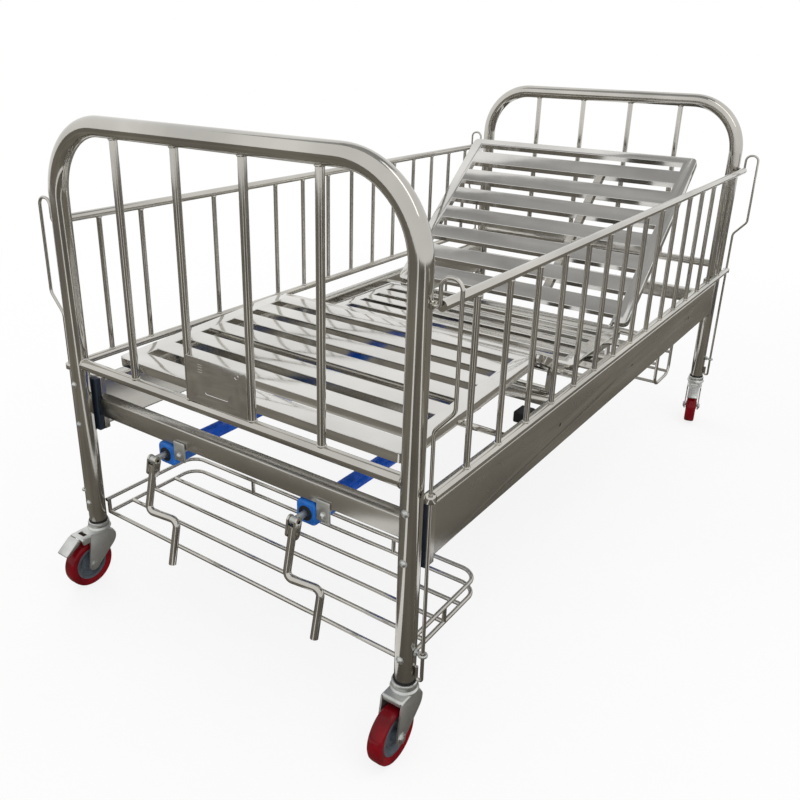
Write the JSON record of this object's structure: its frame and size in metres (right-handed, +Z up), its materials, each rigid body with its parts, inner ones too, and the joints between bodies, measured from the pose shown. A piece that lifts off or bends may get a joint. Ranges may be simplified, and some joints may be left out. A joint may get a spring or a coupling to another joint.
{
  "type": "pediatric hospital cot",
  "caption": "Tubular steel hospital cot for a child with arched end boards, drop side guards, a crank-raised backrest and knee rest, wire basket and braked casters.",
  "frame": {"origin": "floor under the middle of the cot", "axes": "+Z up, +Y along the cot from foot to head, +X to the right seen from the foot"},
  "size_m": [0.9012, 1.7388, 0.9535],
  "materials": {
    "steel": "polished",
    "sheet_steel": "polished",
    "zinc": "plated",
    "blue_plastic": "glossy",
    "blue_paint": "glossy",
    "dark_plastic": "matte",
    "black_rubber": "matte",
    "grey_plastic": "satin",
    "red_tyre": "satin"
  },
  "bodies": {
    "base": {"footboard_frame": "steel", "headboard_frame": "steel", "foot_beam": "steel", "head_beam": "steel", "hinge_tube_front": "steel", "hinge_tube_rear": "steel", "cross_member_front": "steel", "cross_member_middle": "steel", "basket": "steel", "head_rack": "steel", "side_beam_left": "steel", "side_beam_right": "steel", "guide_rod_foot_left": "steel", "guide_rod_foot_right": "steel", "guide_rod_head_left": "steel", "guide_rod_head_right": "steel", "eye_bolt_foot_left": "steel", "eye_bolt_foot_right": "steel", "eye_bolt_head_left": "steel", "eye_bolt_head_right": "steel", "chart_plate": "sheet_steel", "seat_panel": "sheet_steel", "crank_bracket_left": "zinc", "crank_bracket_right": "zinc", "crank_housing_left": "blue_plastic", "crank_housing_right": "blue_plastic", "screw_tube_left": "blue_paint", "screw_tube_right": "blue_paint", "corner_cover_foot_left": "dark_plastic", "corner_cover_foot_right": "dark_plastic", "corner_cover_head_left": "dark_plastic", "corner_cover_head_right": "dark_plastic", "rubber_stop_left": "black_rubber", "rubber_stop_right": "black_rubber"},
    "backrest": {"backrest_panel": "sheet_steel"},
    "thigh": {"thigh_panel": "sheet_steel"},
    "calf": {"calf_panel": "sheet_steel"},
    "calf_arm": {"calf_arm": "steel"},
    "back_push_rod": {"push_rod_left": "zinc"},
    "knee_push_rod": {"push_rod_right": "zinc"},
    "crank_left": {"crank_shaft_left": "zinc"},
    "handle_left": {"crank_handle_left": "zinc"},
    "guard_left": {"guard_left": "steel"},
    "crank_right": {"crank_shaft_right": "zinc"},
    "handle_right": {"crank_handle_right": "zinc"},
    "guard_right": {"guard_right": "steel"},
    "fork_foot_left": {"caster_fork_foot_left": "zinc"},
    "wheel_foot_left": {"caster_hub_foot_left": "grey_plastic", "caster_tyre_foot_left": "red_tyre"},
    "fork_foot_right": {"caster_fork_foot_right": "zinc"},
    "wheel_foot_right": {"caster_hub_foot_right": "grey_plastic", "caster_tyre_foot_right": "red_tyre"},
    "fork_head_left": {"caster_fork_head_left": "zinc"},
    "wheel_head_left": {"caster_hub_head_left": "grey_plastic", "caster_tyre_head_left": "red_tyre"},
    "fork_head_right": {"caster_fork_head_right": "zinc"},
    "wheel_head_right": {"caster_hub_head_right": "grey_plastic", "caster_tyre_head_right": "red_tyre"},
    "pedal_foot_left": {"brake_pedal_foot_left": "zinc"},
    "pedal_head_right": {"brake_pedal_head_right": "zinc"}
  },
  "joints": [
    {"name": "backrest_tilt", "type": "hinge", "parent": "base", "child": "backrest", "pos_m": [0, 0.24696, 0.428], "axis": [1, 0, 0], "range_deg": [-41, 32.8]},
    {"name": "thigh_lift", "type": "hinge", "parent": "base", "child": "thigh", "pos_m": [0, -0.09784, 0.428], "axis": [-1, 0, 0], "range_deg": [-28, 14]},
    {"name": "calf_fold", "type": "hinge", "parent": "thigh", "child": "calf", "pos_m": [0, -0.23999, 0.50358], "axis": [-1, 0, 0], "range_deg": [-15.3, 30.5]},
    {"name": "calf_arm_swing", "type": "hinge", "parent": "base", "child": "calf_arm", "pos_m": [0, -0.42146, 0.4145], "axis": [-1, 0, 0], "range_deg": [-28.1, 14.1]},
    {"name": "back_push", "type": "slide", "parent": "base", "child": "back_push_rod", "axis": [0, 1, 0], "range_m": [-0.0468, 0.0375]},
    {"name": "knee_push", "type": "slide", "parent": "base", "child": "knee_push_rod", "axis": [0, -1, 0], "range_m": [-0.0231, 0.0116]},
    {"name": "back_crank_turn", "type": "hinge", "parent": "base", "child": "crank_left", "pos_m": [-0.17, -0.78944, 0.3502], "axis": [0, 1, 0], "range_deg": [-1800.5, 1440.5]},
    {"name": "knee_crank_turn", "type": "hinge", "parent": "base", "child": "crank_right", "pos_m": [0.17, -0.78944, 0.3502], "axis": [0, 1, 0], "range_deg": [-720.5, 360.5]},
    {"name": "handle_fold_left", "type": "hinge", "parent": "crank_left", "child": "handle_left", "pos_m": [-0.17, -0.78944, 0.3502], "axis": [-1, 0, 0], "range_deg": [0, 77]},
    {"name": "handle_fold_right", "type": "hinge", "parent": "crank_right", "child": "handle_right", "pos_m": [0.17, -0.78944, 0.3502], "axis": [-1, 0, 0], "range_deg": [0, 77]},
    {"name": "guard_slide_left", "type": "slide", "parent": "base", "child": "guard_left", "axis": [0, 0, 1], "range_m": [-0.255, 0.04]},
    {"name": "guard_slide_right", "type": "slide", "parent": "base", "child": "guard_right", "axis": [0, 0, 1], "range_m": [-0.255, 0.04]},
    {"name": "swivel_foot_left", "type": "hinge", "parent": "base", "child": "fork_foot_left", "pos_m": [-0.385, -0.77644, 0.1197], "axis": [0, 0, 1], "continuous": true},
    {"name": "roll_foot_left", "type": "hinge", "parent": "fork_foot_left", "child": "wheel_foot_left", "pos_m": [-0.385, -0.81144, 0.05], "axis": [1, 0, 0], "continuous": true},
    {"name": "swivel_foot_right", "type": "hinge", "parent": "base", "child": "fork_foot_right", "pos_m": [0.385, -0.77644, 0.1197], "axis": [0, 0, 1], "continuous": true},
    {"name": "roll_foot_right", "type": "hinge", "parent": "fork_foot_right", "child": "wheel_foot_right", "pos_m": [0.385, -0.81144, 0.05], "axis": [1, 0, 0], "continuous": true},
    {"name": "swivel_head_left", "type": "hinge", "parent": "base", "child": "fork_head_left", "pos_m": [-0.385, 0.84156, 0.1197], "axis": [0, 0, 1], "continuous": true},
    {"name": "roll_head_left", "type": "hinge", "parent": "fork_head_left", "child": "wheel_head_left", "pos_m": [-0.385, 0.80656, 0.05], "axis": [1, 0, 0], "continuous": true},
    {"name": "swivel_head_right", "type": "hinge", "parent": "base", "child": "fork_head_right", "pos_m": [0.385, 0.84156, 0.1197], "axis": [0, 0, 1], "continuous": true},
    {"name": "roll_head_right", "type": "hinge", "parent": "fork_head_right", "child": "wheel_head_right", "pos_m": [0.39252, 0.80738, 0.05], "axis": [0.9767, 0.2147, 0], "continuous": true},
    {"name": "brake_foot_left", "type": "hinge", "parent": "fork_foot_left", "child": "pedal_foot_left", "pos_m": [-0.385, -0.83874, 0.1147], "axis": [1, 0, 0], "range_deg": [0, 15]},
    {"name": "brake_head_right", "type": "hinge", "parent": "fork_head_right", "child": "pedal_head_right", "pos_m": [0.39838, 0.78072, 0.1147], "axis": [0.9767, 0.2147, 0], "range_deg": [0, 15]}
  ],
  "couplings": [
    {"joint": "back_push", "follows": "backrest_tilt", "m_per_rad": 0.06526},
    {"joint": "back_crank_turn", "follows": "backrest_tilt", "ratio": 43.902},
    {"joint": "calf_fold", "follows": "thigh_lift", "ratio": -1.0857},
    {"joint": "calf_arm_swing", "follows": "thigh_lift", "ratio": 1},
    {"joint": "knee_push", "follows": "thigh_lift", "m_per_rad": 0.04693},
    {"joint": "knee_crank_turn", "follows": "thigh_lift", "ratio": 25.714}
  ]
}
